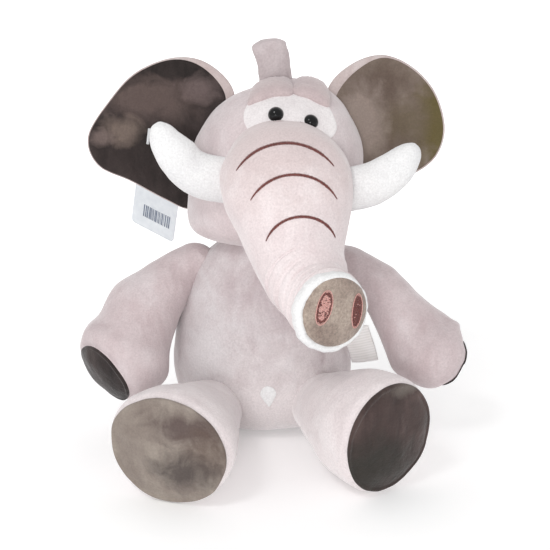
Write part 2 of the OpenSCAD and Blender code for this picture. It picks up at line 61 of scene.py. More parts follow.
def turned(local, tilt, yaw):
    """Vectors of a section's own frame: tilt about X, then yaw about Z, in degrees."""
    t, w = np.radians(tilt), np.radians(yaw)
    x, y, z = local[..., 0], local[..., 1], local[..., 2]
    y, z = y * np.cos(t) - z * np.sin(t), y * np.sin(t) + z * np.cos(t)
    return np.stack([x * np.cos(w) - y * np.sin(w), x * np.sin(w) + y * np.cos(w), z], -1)


def aim(v, tilt, yaw):
    return turned(np.array([v], float), tilt, yaw)[0]


def spline(p, q, r, s, f):
    """The smooth curve from q to r, at a share f of the way, with p before and s after."""
    return 0.5 * (2 * q + (r - p) * f + (2 * p - 5 * q + 4 * r - s) * f**2 + (3 * q - p - 3 * r + s) * f**3)


def catmull(rows, count):
    """count rows spread evenly along a smooth curve through the given rows."""
    rows = np.asarray(rows, float)
    t = np.linspace(0, len(rows) - 1, count)
    i = np.minimum(t.astype(int), len(rows) - 2)
    f = (t - i)[:, None]
    return spline(rows[np.maximum(i - 1, 0)], rows[i], rows[i + 1], rows[np.minimum(i + 2, len(rows) - 1)], f)


def loft(stations, rings, sides):
    """Grid of points [ring, side, xyz] through stations [x, y, z, half width, half height, tilt, yaw]."""
    st = catmull(stations, rings)
    a = np.linspace(0, 2 * math.pi, sides, endpoint=False)
    local = np.zeros((rings, sides, 3))
    local[..., 0] = st[:, 3:4] * np.cos(a)
    local[..., 1] = st[:, 4:5] * np.sin(a)
    return turned(local, st[:, 5:6], st[:, 6:7]) + st[:, None, :3]


def grid_normals(p):
    """Outward unit normals of a closed grid."""
    along = np.gradient(p, axis=0)
    around = np.roll(p, -1, 1) - np.roll(p, 1, 1)
    return unit(np.cross(around, along))


def lumps(p, size, seed):
    """A smooth random field around zero, about one high, with features of roughly that size."""
    rng = np.random.default_rng(seed)
    out = np.zeros(p.shape[:-1])
    for octave in range(2):
        for _ in range(7):
            d = unit(rng.normal(size=3)) * (2 * math.pi / (size / 2**octave)) * rng.uniform(0.7, 1.3)
            out += np.sin(p @ d + rng.uniform(0, 7)) * 0.5**octave
    return out / 4


def bell(x, width):
    """1 at zero, falling smoothly to 0 over about twice the width on either side."""
    return np.exp(-((x / width) ** 2))


def step(x, low, high):
    """0 below low, 1 above high, smooth between."""
    t = np.clip((x - low) / (high - low), 0, 1)
    return t * t * (3 - 2 * t)


def mesh_object(name, verts, faces):
    """An object with a smooth-shaded mesh, from points in millimetres."""
    me = bpy.data.meshes.new(name)
    points = [tuple(v) for v in np.asarray(verts, float) * MM]
    me.from_pydata(points, [], [tuple(map(int, f)) for f in faces])
    me.validate()
    me.update()
    for poly in me.polygons:
        poly.use_smooth = True
    obj = bpy.data.objects.new(name, me)
    scene.collection.objects.link(obj)
    return obj


def grid_faces(m, n, caps=(False, False)):
    """Faces of a closed grid of m rings with n sides, and a fan to one more point at each end with a cap."""
    i, j = np.meshgrid(np.arange(m - 1), np.arange(n), indexing="ij")
    i, j = i.ravel(), j.ravel()
    k = (j + 1) % n
    faces = np.stack([i * n + j, i * n + k, (i + 1) * n + k, (i + 1) * n + j], 1).tolist()
    tip, last = m * n, (m - 1) * n
    if caps[0]:
        faces += [[tip, (b + 1) % n, b] for b in range(n)]
        tip += 1
    if caps[1]:
        faces += [[tip, last + b, last + (b + 1) % n] for b in range(n)]
    return faces


def grid_object(name, p, caps=(True, True)):
    """A closed grid as a mesh, with a fan over each end that has a cap."""
    tips = [[ring.mean(0)] for ring, cap in zip((p[0], p[-1]), caps) if cap]
    return mesh_object(name, np.concatenate([p.reshape(-1, 3), *tips]), grid_faces(*p.shape[:2], caps))


def joined(name, parts):
    """One mesh from several (verts, faces) lists."""
    verts, faces, base = [], [], 0
    for v, f in parts:
        verts.append(np.asarray(v, float))
        faces += [[base + i for i in face] for face in f]
        base += len(v)
    return mesh_object(name, np.concatenate(verts), faces)


def ball_root(p, r, tilt, yaw):
    """Stations over the back of a ball of radius r about p."""
    out = []
    for phi in (4, 14, 28, 44, 60, 75):
        c = np.array(p) - aim((0, 0, r * math.cos(math.radians(phi))), tilt, yaw)
        s = r * math.sin(math.radians(phi))
        out.append([*c, s, s, tilt, yaw])
    return out


def out_at(p, t, tilt, yaw, r):
    """A round station of radius r, t out from p."""
    return [*(np.array(p) + aim((0, 0, t), tilt, yaw)), r, r, tilt, yaw]


def tree_of(p):
    """A ray-cast tree over a grid of points."""
    return BVHTree.FromPolygons([Vector(v) for v in p.reshape(-1, 3)], grid_faces(*p.shape[:2]))


def dropped(tree, points, direction, lift=0.0):
    """Points moved along direction until they touch the tree, then lifted off along its normal."""
    start = 60.0
    d = Vector(unit(direction))
    out = []
    for p in np.asarray(points, float):
        hit, normal, _, _ = tree.ray_cast(Vector(p) - d * start, d, 3 * start)
        if hit is None:
            hit, normal, _, _ = tree.find_nearest(Vector(p))
        if normal.dot(d) > 0:
            normal = -normal
        out.append(np.array(hit + normal * lift))
    return np.array(out)


def placing(origin, tilt, yaw):
    """A function from x, y and z of a turned face, z standing out of it, to points in the shared frame."""

    def place(x, y, z):
        return origin + turned(np.stack(np.broadcast_arrays(x, y, z), -1).astype(float), tilt, yaw)

    return place


# ---------------------------------------------------------------- materials


def srgb(r, g, b):
    """A colour as seen, 0 to 255, as the linear values a shader takes."""
    out = []
    for c in (r, g, b):
        c /= 255
        out.append(c / 12.92 if c <= 0.04045 else ((c + 0.055) / 1.055) ** 2.4)
    return (*out, 1.0)


class Nodes:
    """Short names for building a material's node tree."""

    def __init__(self, name):
        self.mat = bpy.data.materials.new(name)
        self.mat.use_nodes = True
        self.tree = self.mat.node_tree
        self.shader = self.tree.nodes["Principled BSDF"]
        self.coord = self.tree.nodes.new("ShaderNodeTexCoord").outputs["Object"]

    def new(self, kind, **values):
        node = self.tree.nodes.new(kind)
        for key, value in values.items():
            setattr(node, key, value)
        return node

    def link(self, a, b):
        self.tree.links.new(a, b)

    def stretched(self, scale, turn=(0, 0, 0)):
        node = self.new("ShaderNodeMapping")
        node.inputs["Scale"].default_value = scale
        node.inputs["Rotation"].default_value = [math.radians(t) for t in turn]
        self.link(self.coord, node.inputs["Vector"])
        return node.outputs["Vector"]

    def noise(self, scale, detail=2.0, rough=0.5, distort=0.0, vector=None):
        node = self.new("ShaderNodeTexNoise")
        node.inputs["Scale"].default_value = scale
        node.inputs["Detail"].default_value = detail
        node.inputs["Roughness"].default_value = rough
        node.inputs["Distortion"].default_value = distort
        self.link(vector or self.coord, node.inputs["Vector"])
        return node.outputs["Fac"]

    def ramp(self, value, low, high, a=(0, 0, 0, 1), b=(1, 1, 1, 1)):
        node = self.new("ShaderNodeValToRGB")
        node.color_ramp.elements[0].position = low
        node.color_ramp.elements[1].position = high
        node.color_ramp.elements[0].color = a
        node.color_ramp.elements[1].color = b
        self.link(value, node.inputs["Fac"])
        return node.outputs["Color"]

    def mix(self, a, b, factor, blend="MIX"):
        node = self.new("ShaderNodeMix", data_type="RGBA", blend_type=blend)
        for socket, value in ((node.inputs["Factor"], factor), (node.inputs[6], a), (node.inputs[7], b)):
            if isinstance(value, (tuple, float, int)):
                socket.default_value = value
            else:
                self.link(value, socket)
        return node.outputs[2]

    def math(self, op, a, b=0.0):
        node = self.new("ShaderNodeMath", operation=op)
        for socket, value in zip(node.inputs, (a, b)):
            if isinstance(value, (float, int)):
                socket.default_value = value
            else:
                self.link(value, socket)
        return node.outputs[0]

    def spot(self, centre, radius):
        """A soft blot round a point, both in millimetres: 1 at its middle, 0 outside, its edge uneven."""
        node = self.new("ShaderNodeMapping")
        node.inputs["Scale"].default_value = [1000 / r for r in radius]
        node.inputs["Location"].default_value = [-c / r for c, r in zip(centre, radius)]
        self.link(self.coord, node.inputs["Vector"])
        length = self.new("ShaderNodeVectorMath", operation="LENGTH")
        self.link(node.outputs["Vector"], length.inputs[0])
        uneven = self.math("MULTIPLY", self.math("SUBTRACT", self.noise(70.0, 4.0, 0.6, 0.8), 0.5), 1.8)
        reach = self.math("MULTIPLY", self.math("ADD", length.outputs["Value"], uneven), 0.5)
        return self.ramp(reach, 0.25, 0.75, (1, 1, 1, 1), (0, 0, 0, 1))

    def bump(self, layers):
        """Bumps laid over each other: (height, strength, distance in metres)."""
        normal = None
        for height, strength, distance in layers:
            node = self.new("ShaderNodeBump")
            node.inputs["Strength"].default_value = strength
            node.inputs["Distance"].default_value = distance
            self.link(height, node.inputs["Height"])
            if normal is not None:
                self.link(normal, node.inputs["Normal"])
            normal = node.outputs["Normal"]
        self.link(normal, self.shader.inputs["Normal"])

    def set(self, **values):
        for key, value in values.items():
            self.shader.inputs[key.replace("_", " ")].default_value = value


def plush(name, base, shade, light, blotch=28.0, contrast=(0.38, 0.62), sheen=0.5, streak=0.35, tints_and_painted_light=()):
    """Short nap velour: patches where the pile lies another way, streaks along it, and a fine grain."""
    n = Nodes(name)
    base, shade, light = srgb(*base), srgb(*shade), srgb(*light)
    patches = n.noise(blotch, 3.0, 0.55, 0.6)
    streaks = n.noise(55.0, 3.0, 0.6, 0.4, n.stretched((1.6, 1.6, 0.5), (12, 8, 20)))
    grain = n.noise(850.0, 3.0, 0.65)
    fluff = n.noise(420.0, 3.0, 0.65)
    colour = n.mix(shade, base, n.ramp(patches, contrast[0] - 0.1, contrast[0] + 0.14))
    colour = n.mix(colour, light, n.ramp(patches, contrast[1] - 0.08, contrast[1] + 0.1))
    colour = n.mix(colour, n.mix(shade, light, n.ramp(streaks, 0.35, 0.68)), streak)
    # soft blots over the nap: some the cloth's own tint, some painted light and shade
    for centre, radius, tint in tints_and_painted_light:
        colour = n.mix(colour, srgb(*tint), n.math("MULTIPLY", n.spot(centre, radius), 0.85))
    speckle = n.ramp(grain, 0.25, 0.75, (0.70, 0.69, 0.69, 1), (1.06, 1.06, 1.06, 1))
    colour = n.mix(colour, speckle, 0.6, "MULTIPLY")
    n.link(colour, n.shader.inputs["Base Color"])
    n.set(Roughness=0.92, Sheen_Weight=sheen, Sheen_Roughness=0.45, Specular_IOR_Level=0.15)
    n.bump([(patches, 0.3, 0.003), (streaks, 0.35, 0.0014), (fluff, 0.5, 0.0007), (grain, 0.5, 0.0003)])
    return n.mat


# colours as seen: base, shade and light of the nap; then soft blots, each a centre and reach in millimetres
# and a tint: some the cloth's own tint, some painted light or shade
GREY = plush("grey_plush", (204, 193, 194), (184, 169, 172), (222, 217, 218), tints_and_painted_light=[
    # painted light: the lower torso lighter, where the front light falls full on it
    ((-5, -30, 14), (75, 60, 44), (228, 221, 221)),
    # painted light: the lower left side of the body lighter, standing for front light
    ((-40, -30, 60), (18, 40, 26), (216, 211, 212)),
])
HEAD = plush("head_plush", (210, 196, 197), (196, 182, 184), (221, 211, 212))
ARM = plush("arm_plush", (206, 191, 192), (190, 173, 175), (222, 213, 214), 22.0)
# painted light: the legs take a lighter copy of the grey plush, standing for the front light that falls full
# on them
FRONT_LIT_LEG = plush("front_lit_leg_plush", (232, 222, 222), (218, 207, 208), (242, 236, 236), 22.0)
BROW = plush("brow_plush", (196, 179, 179), (182, 166, 168), (208, 193, 192))
TUFT = plush("tuft_plush", (192, 180, 181), (178, 165, 166), (208, 199, 200))
# painted light: the trunk takes a pale copy of the head's plush, standing for the flash that nearly whitens
# it
FRONT_LIT_TRUNK = plush("pale_plush", (230, 218, 218), (218, 204, 205), (240, 232, 232), 24.0, tints_and_painted_light=[
    # painted light fading at the root: darker there, back towards the head's own colour
    ((10, -52, 196), (64, 50, 34), (212, 196, 195)),
])
WHITE = plush("white_plush", (235, 235, 235), (228, 228, 229), (240, 240, 240),
              sheen=0.2, streak=0.15)
BAND = plush("band_plush", (234, 229, 229), (222, 215, 216), (244, 240, 240), sheen=0.3)
EAR_BACK = plush("ear_back_plush", (198, 184, 182), (178, 158, 154), (214, 206, 204))
DARK_EAR = plush(
    "dark_ear_plush", (56, 48, 47), (40, 35, 34), (78, 68, 66),
    34.0, (0.42, 0.66), 0.3, tints_and_painted_light=[
        # lighter patches: painted sheen on the nap, where the pile lies another way
        ((-75, 8, 214), (26, 30, 12), (98, 84, 80)),
        ((-96, 8, 194), (11, 30, 8), (118, 104, 96)),
        ((-108, 8, 190), (7, 30, 5), (112, 98, 94)),
        ((-44, 8, 220), (10, 30, 8), (108, 94, 92)),
    ])
OLIVE_EAR = plush(
    "brown_ear_plush", (120, 106, 97), (92, 78, 68), (146, 134, 124),
    30.0, (0.42, 0.62), 0.3, tints_and_painted_light=[
        ((110, 8, 198), (13, 30, 34), (96, 86, 50)),
        ((68, 8, 222), (18, 30, 12), (98, 84, 76)),
        ((88, 8, 200), (13, 30, 13), (104, 92, 76)),
        ((58, 8, 200), (14, 30, 20), (152, 138, 130)),
    ])
DARK_PAD = plush("dark_pad_plush", (54, 48, 47), (38, 34, 34), (80, 70, 68),
                 40.0, (0.45, 0.66), 0.25)
DARK_SOLE = plush(
    "dark_sole_plush", (76, 62, 60), (56, 47, 45), (100, 84, 80),
    38.0, (0.46, 0.68), 0.25, tints_and_painted_light=[
        ((56, -122, 20), (26, 30, 17), (52, 50, 46)),
        # painted highlight: a light spot at the top of the sole
        ((76, -110, 65), (9, 20, 4), (112, 104, 98)),
    ])
BROWN = plush(
    "brown_plush", (148, 138, 129), (128, 116, 109), (160, 150, 140),
    36.0, (0.44, 0.6), 0.25, tints_and_painted_light=[
        ((-44, -128, 50), (20, 30, 9), (88, 74, 72)),
        ((-34, -126, 37), (12, 30, 13), (98, 83, 76)),
        ((-46, -128, 24), (16, 30, 11), (76, 68, 66)),
    ])


def disc_material():
    """The clipped, fuzzy cloth of the trunk's end."""
    n = Nodes("trunk_disc_fuzz")
    grain = n.noise(650.0, 3.0, 0.75)
    fluff = n.noise(330.0, 3.0, 0.6)
    colour = n.mix(srgb(140, 124, 116), srgb(176, 162, 152), n.ramp(n.noise(60.0, 3.0), 0.35, 0.65))
    speckle = n.ramp(grain, 0.3, 0.75, (0.52, 0.5, 0.48, 1), (1.2, 1.17, 1.12, 1))
    colour = n.mix(colour, speckle, 0.8, "MULTIPLY")
    n.link(colour, n.shader.inputs["Base Color"])
    n.set(Roughness=0.95, Sheen_Weight=0.6, Sheen_Roughness=0.5, Specular_IOR_Level=0.1)
    n.bump([(fluff, 0.6, 0.0007), (grain, 0.8, 0.0004)])
    return n.mat


def thread_material(name, a, b):
    """Twisted embroidery thread with a slight lustre."""
    n = Nodes(name)
    twist = n.noise(1400.0, 2.0)
    n.link(n.mix(a, b, n.ramp(twist, 0.35, 0.65)), n.shader.inputs["Base Color"])
    n.set(Roughness=0.45, Sheen_Weight=0.2, Specular_IOR_Level=0.5)
    n.bump([(twist, 0.4, 0.0002)])
    return n.mat


def satin_material():
    """Ribbon satin: fine ribs across and a soft shine."""
    n = Nodes("satin_ribbon")
    wave = n.new("ShaderNodeTexWave", wave_type="BANDS", bands_direction="Z")
    wave.inputs["Scale"].default_value = 170.0
    wave.inputs["Distortion"].default_value = 0.4
    n.link(n.stretched((1, 1, 1), (0, 18, 0)), wave.inputs["Vector"])
    shade = n.ramp(n.noise(90.0, 2.0), 0.3, 0.7, srgb(242, 240, 238), srgb(252, 251, 250))
    ribs = n.ramp(wave.outputs["Fac"], 0.2, 0.9, (0.86, 0.87, 0.86, 1), (1, 1, 1, 1))
    n.link(n.mix(shade, ribs, 0.7, "MULTIPLY"), n.shader.inputs["Base Color"])
    n.set(Roughness=0.38, Specular_IOR_Level=0.5, Sheen_Weight=0.2)
    n.bump([(wave.outputs["Fac"], 0.25, 0.0002)])
    return n.mat


def card_material():
    """Coated paper, slightly blue, with faint mottling."""
    n = Nodes("coated_card")
    fleck = n.noise(240.0, 3.0)
    n.link(n.ramp(fleck, 0.3, 0.7, srgb(212, 217, 222), srgb(222, 226, 230)), n.shader.inputs["Base Color"])
    n.set(Roughness=0.42, Specular_IOR_Level=0.45, Coat_Weight=0.15, Coat_Roughness=0.3)
    n.bump([(n.noise(1800.0, 2.0), 0.15, 0.0001)])
    return n.mat


def plain_material(name, colour, rough, **more):
    """Moulded plastic or ink: one colour with a little unevenness."""
    scale, swing = 700.0, 0.06
    n = Nodes(name)
    low = tuple(c * (1 - swing) for c in colour[:3]) + (1,)
    high = tuple(min(1, c * (1 + swing)) for c in colour[:3]) + (1,)
    n.link(n.ramp(n.noise(scale, 2.0), 0.3, 0.7, low, high), n.shader.inputs["Base Color"])
    n.set(Roughness=rough, **more)
    n.bump([(n.noise(scale * 2, 2.0), 0.05, 0.0001)])
    return n.mat


DISC = disc_material()
RED_THREAD = thread_material("red_thread", srgb(84, 34, 30), srgb(128, 60, 52))
PINK_THREAD = thread_material("pink_thread", srgb(196, 140, 132), srgb(222, 174, 166))
GREY_THREAD = thread_material("grey_thread", srgb(170, 158, 160), srgb(200, 190, 192))
SATIN = satin_material()
CARD = card_material()
INK = plain_material("card_print", srgb(120, 130, 150), 0.5)
EYE = plain_material("eye_plastic", srgb(10, 10, 11), 0.08, Specular_IOR_Level=0.32)
NYLON = plain_material("clear_nylon", srgb(226, 228, 230), 0.25, Transmission_Weight=0.35)


def finish(obj, material, body, replaces=(), levels=0):
    """Gives a piece its material, its body when body is a name (any other body leaves it fixed where it is),
    and the CAD nodes it stands for.
    """
    obj.data.materials.clear()
    obj.data.materials.append(material)
    if levels:
        mod = obj.modifiers.new("smooth", "SUBSURF")
        mod.levels = mod.render_levels = levels
    if isinstance(body, str):
        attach(obj, body)
    else:
        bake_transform(obj)
    if replaces:
        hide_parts(*replaces)


# ---------------------------------------------------------------- fabric on a grid


def puffed(p, swell, size, seed, fine=0.12):
    """Soft unevenness of a stuffed skin."""
    n = grid_normals(p)
    height = swell * lumps(p, size, seed) + fine * lumps(p, size * 0.28, seed + 50)
    return p + n * height[..., None]


def grooved(p, distance, depth, width):
    """A seam pressed into a grid: distance is each point's distance from the seam line."""
    n = grid_normals(p)
    pull = -depth * bell(distance, width) + 0.35 * depth * bell(np.abs(distance) - 2.2 * width, width)
    return p + n * pull[..., None]


def ring_of(stations, rings, s):
    """The ring of a loft nearest to station s."""
    return int(round(s / (len(stations) - 1) * (rings - 1)))


def rings_from(p, ring):
    """For each ring of a grid, how many rings it lies past the given one, as a column."""
    return (np.arange(len(p)) - ring)[:, None]


def patch(name, p, first):
    """The end of a grid from ring first on, lifted into a second cloth with its edge turned under."""
    lift, tuck = 0.5, 0.9
    n = grid_normals(p)
    rows, normals = p[first:], n[first:]
    rise = np.full(len(rows), lift)
    rise[:3] = (-tuck, 0.2 * lift, 0.8 * lift)
    return grid_object(name, rows + normals * rise[:, None, None], (False, True))


# ---------------------------------------------------------------- camera

camera = bpy.data.objects.new("camera", bpy.data.cameras.new("camera"))
camera.location = (0.0033, -0.680, 0.2822)
camera.rotation_euler = (math.radians(75), 0, 0)
camera.data.lens = 70
camera.data.sensor_width = 36
scene.collection.objects.link(camera)
scene.camera = camera

# ---------------------------------------------------------------- torso

TW, TD = 59, 51  # half the torso's greatest width and depth
TORSO = [
    [-1, 5, 0, 0.52 * TW, 0.42 * TD, 0, 0],
    [-1.5, 4, 1.0, 0.62 * TW, 0.54 * TD, 0, 0],
    [-2, 2, 6, 0.78 * TW, 0.74 * TD, 0, 0],
    [-4, 0, 22, 0.96 * TW, 0.97 * TD, 0, 0],
    [-5, -1, 45, TW, TD, 0, 0],
    [-4, 0, 70, 0.96 * TW, 0.97 * TD, 0, 0],
    [-3, 1, 95, 0.87 * TW, 0.83 * TD, 0, 0],
    [-1, 2, 112, 0.76 * TW, 0.69 * TD, 0, 0],
    [1, 2, 123, 0.60 * TW, 0.57 * TD, 0, 0],
    [2, 2, 131, 0.44 * TW, 0.44 * TD, 0, 0],
    [2, 2, 139, 18, 18, 0, 0],
    [2, 2, 144, 6, 6, 0, 0],
]
torso_grid = puffed(loft(TORSO, 110, 128), 0.9, 48, 3)
FAR = 99  # a distance at which a seam has no effect
torso_grid = grooved(torso_grid, np.where(torso_grid[..., 1] < 0, torso_grid[..., 0] + 3.0, FAR), 0.25, 0.9)
torso_grid = grooved(torso_grid, np.where(torso_grid[..., 1] > 0, torso_grid[..., 0] + 3.0, FAR), 0.5, 1.0)
torso_grid[..., 2] = np.maximum(torso_grid[..., 2], 0.0)
torso = grid_object("torso_cover", torso_grid)
finish(torso, GREY, "torso", ("torso_skin", "torso_filling", "seat_pouch"), 1)
torso_tree = tree_of(torso_grid)

# ---------------------------------------------------------------- head

HW, HD = 56.5, 49  # half the head's greatest width and depth
HEAD_STATIONS = [
    [0, 1, 123, 0.30 * HW, 0.30 * HD, 0, 0],
    [-1, 0.5, 124.5, 0.52 * HW, 0.52 * HD, 0, 0],
    [-2, 0, 128, 0.71 * HW, 0.67 * HD, 0, 0],
    [-2, 0, 135, 0.87 * HW, 0.84 * HD, 0, 0],
    [1.2, 0, 150, 0.96 * HW, 0.97 * HD, 0, 0],
    [4.0, 0, 170, 0.98 * HW, HD, 0, 0],
    [5.6, 0, 190, 0.92 * HW, 0.95 * HD, 0, 0],
    [6.8, 0, 206, 0.77 * HW, 0.82 * HD, 0, 0],
    [9.6, 1, 217.5, 0.55 * HW, 0.60 * HD, 0, 0],
    [12.5, 3, 224.9, 0.28 * HW, 0.30 * HD, 0, 0],
    [13.5, 4, 227.5, 0.06 * HW, 0.07 * HD, 0, 0],
]
head_grid = puffed(loft(HEAD_STATIONS, 110, 128), 0.7, 44, 8)
head_grid = grooved(head_grid, np.where(head_grid[..., 1] > 0, head_grid[..., 0] - 6.0, FAR), 0.5, 1.0)
head = grid_object("head_cover", head_grid)
finish(head, HEAD, "head", ("head_skin", "head_filling"), 1)
head_tree = tree_of(head_grid)

# ---------------------------------------------------------------- trunk

KW = 39  # half the trunk's width at its root
TRUNK = [
    [9, -30, 176, 0.95 * KW, 31, 100, 0],
    [10, -49, 172, KW, 33, 115, 2],
    [11.5, -62, 160, 0.98 * KW, 31, 132, 4],
    [13.5, -70, 146, 0.84 * KW, 28, 146, 6],
    [16, -77, 134, 0.71 * KW, 26, 145, 10],
    [19, -83.5, 125.8, 0.65 * KW, 25.2, 130, 16],
    [22.3, -88.8, 120.4, 0.62 * KW, 24.2, 118, 19],
    [25.6, -95.0, 115.6, 21.4, 22.0, 112, 22],
    [28.8, -101.5, 113.2, 21.0, 21.8, 101, 24],
    [31.4, -107.0, 111.5, 21.3, 22.0, 94, 25.5],
    [33.8, -112.0, 110.6, 21.2, 22.0, 90, 26],
    [35.4, -115.2, 110.5, 17.0, 17.0, 90, 26],
    [35.6, -115.8, 110.5, 4.0, 4.0, 90, 26],
]
CURL_START, CURL_END = (19, -84, 126), (29.5, -102, 114)
TRUNK_RINGS = 150
trunk_grid = puffed(loft(TRUNK, TRUNK_RINGS, 128), 0.7, 40, 21, 0.1)
across = trunk_grid - trunk_grid.mean(1, keepdims=True)
inner_side = step(-across[..., 0], -2, 14) * step(-trunk_grid[..., 1], 70, 84)
# folds on the inner side of the bend, then the seam near the end
for place, depth, lean in ((5.9, 1.1, 3.0), (6.8, 1.6, 2.0), (7.6, 1.3, 2.6), (8.4, 1.0, 1.2)):
    line = rings_from(trunk_grid, ring_of(TRUNK, TRUNK_RINGS, place)) + lean * across[..., 2] / 10
    trunk_grid = grooved(trunk_grid, line, depth * inner_side, 1.5)
trunk_grid = grooved(trunk_grid, rings_from(trunk_grid, ring_of(TRUNK, TRUNK_RINGS, 9.35)), 1.3, 1.3)
trunk = grid_object("trunk_cover", trunk_grid)
trunk_tree = tree_of(trunk_grid)
finish(trunk, FRONT_LIT_TRUNK, ("head", "trunk_tip", CURL_START, CURL_END),
       ("trunk_skin", "trunk_filling", "trunk_tip_skin", "trunk_tip_filling"), 1)

TIP_FACE, TIP_TILT, TIP_YAW = np.array([36.6, -117.6, 110.4]), 90, 26
TIP_SIDES = 160
tip_point = placing(TIP_FACE, TIP_TILT, TIP_YAW)


def revolved(profile, sides, place, ripple=None):
    """A grid turned from (radius, height) rows about the axis of a face."""
    a = np.linspace(0, 2 * math.pi, sides, endpoint=False)
    rows = catmull(profile, len(profile) * 5)
    r = rows[:, :1] + (0 if ripple is None else ripple(a))
    return place(r * np.cos(a), r * np.sin(a), np.broadcast_to(rows[:, 1:2], r.shape))


def band_point(x, y, z):
    """A point of the end face, a little to one side: the rolled band sits off the middle of the end."""
    return tip_point(x - 1.3, y - 0.7, z)


def band_ripple(a):
    """Unevenness of the rolled band's radius around it."""
    return 0.28 * np.sin(7 * a) + 0.16 * np.sin(17 * a + 1) + 0.1 * np.sin(31 * a)


BAND_PROFILE = [
    [20.6, -8.6], [21.8, -8.0], [22.6, -6.2], [22.9, -4.0], [22.7, -1.8],
    [21.9, -0.4], [20.8, 0.2], [19.6, 0.0], [18.4, -0.9], [17.6, -2.2],
]
band_grid = revolved(BAND_PROFILE, TIP_SIDES, band_point, band_ripple)
band = grid_object("trunk_band_roll", band_grid, (False, False))
finish(band, WHITE, "trunk_tip", ("trunk_band",), 1)

DISC_PROFILE = [
    [20.3, -2.4], [20.2, -1.0], [19.8, -0.1], [18.6, 0.8], [15.0, 1.9], [10.0, 2.8], [5.0, 3.3], [0.6, 3.4],
]
disc_grid = revolved(DISC_PROFILE, TIP_SIDES, tip_point)
disc = grid_object("trunk_end_disc", disc_grid, (False, True))
finish(disc, DISC, "trunk_tip", ("trunk_disc",), 1)
disc_tree = tree_of(disc_grid)

# ---------------------------------------------------------------- embroidery

PITCH = 0.42  # from one thread to the next


def stitch(a, b, lift, r):
    """A thread laid from a to b over a surface, as a thin bowed tube: verts and faces."""
    rings, sides = 7, 6
    side = unit(np.cross(unit(b - a), lift))
    verts = []
    for k in range(rings):
        f = k / (rings - 1)
        rise = math.sin(math.pi * f)
        c = a + (b - a) * f + lift * (rise**0.6) * r * 1.1
        w = r * (0.45 + 0.55 * rise)
        for q in range(sides):
            t = 2 * math.pi * q / sides
            verts.append(c + side * w * math.cos(t) + lift * w * 0.8 * math.sin(t))
    faces = grid_faces(rings, sides)
    last = (rings - 1) * sides
    return verts, faces + [tuple(range(sides - 1, -1, -1)), tuple(range(last, last + sides))]


def satin_row(name, tree, centre, radius, start, end, width, seed):
    """Slanted satin stitches side by side along an arc in the XZ plane, laid on the surface behind it."""
    rng = np.random.default_rng(seed)
    arc = math.radians(end - start)
    count = int(radius * abs(arc) / PITCH)
    taper = 0.25
    up = unit(np.array([0, -1.0, 0.35]))
    parts = []
    for i in range(count):
        f = (i + 0.5) / count
        t = math.radians(start) + arc * f
        w = width * min(1, 0.35 + f / taper, 0.35 + (1 - f) / taper) * rng.uniform(0.86, 1.12)
        slant = 0.35 * PITCH + rng.normal(0, 0.04)
        ends = [
            [centre[0] + r * math.cos(q), -120, centre[1] + r * math.sin(q)]
            for r, q in ((radius - w / 2, t), (radius + w / 2, t + slant / radius))
        ]
        parts.append(stitch(*dropped(tree, ends, (0, 1, 0), 0.05), up, 0.24))
    return joined(name, parts)


ARCS = [
    ("upper", (10, 162.5), 34.5, 38, 147),
    ("middle", (14, 153), 28, 28, 151),
    ("lower", (18, 138), 21, 21, 160),
]
for k, (name, centre, radius, start, end) in enumerate(ARCS):
    row = satin_row(f"wrinkle_stitches_{name}", trunk_tree, centre, radius, start, end, 1.6, 60 + k)
    finish(row, RED_THREAD, "head", (f"wrinkle_{name}",))


def nostril(name, cx, cy, a, b, turn, seed, pink):
    """An oval of rows of stitches in two shades and a ring round it, on the end disc."""
    rng = np.random.default_rng(seed)
    groups = {"dark": [], "pink": []}
    t = math.radians(turn)
    up = aim((0, 0, 1), TIP_TILT, TIP_YAW)

    def at(u, v):
        q = tip_point(cx + u * math.cos(t) - v * math.sin(t), cy + u * math.sin(t) + v * math.cos(t), 6.0)
        return dropped(disc_tree, [q], -up, 0.05)[0]

    rows = int(2 * b / PITCH)
    for i in range(rows):
        v = -b + (i + 0.5) * 2 * b / rows
        half = a * math.sqrt(max(0, 1 - (v / b) ** 2))
        u = -half
        while u < half - 0.2:
            length = min(rng.uniform(0.9, 1.7), half - u)
            edge = 1 - ((u + length / 2) / a) ** 2 - (v / b) ** 2
            key = "pink" if edge < 0.1 or (edge > 0.42 and rng.random() < pink) else "dark"
            groups[key].append(stitch(at(u, v), at(u + length, v + rng.normal(0, 0.1)), up, 0.23))
            u += length * 0.9
    count, overlap, outside = 70, 1.35, 1.06
    for i in range(count):
        turns = (2 * math.pi * q / count for q in (i, i + overlap))
        ends = [at(a * outside * math.cos(q), b * outside * math.sin(q)) for q in turns]
        groups["pink"].append(stitch(*ends, up, 0.3))
    return {key: joined(f"{name}_{key}", parts) for key, parts in groups.items()}


NOSTRILS = {"left": (12.2, -0.4, 3.3, -6, 0.04), "right": (-8.6, 4.2, 4.1, -17, 0.75)}
for side, (cx, cy, half, turn, pink) in NOSTRILS.items():
    parts = nostril(f"nostril_stitches_{side}", cx, cy, half, 9.2, turn, 30 + turn, pink)
    finish(parts["dark"], RED_THREAD, "trunk_tip", (f"nostril_{side}",))
    finish(parts["pink"], PINK_THREAD, "trunk_tip")

# ---------------------------------------------------------------- tusks

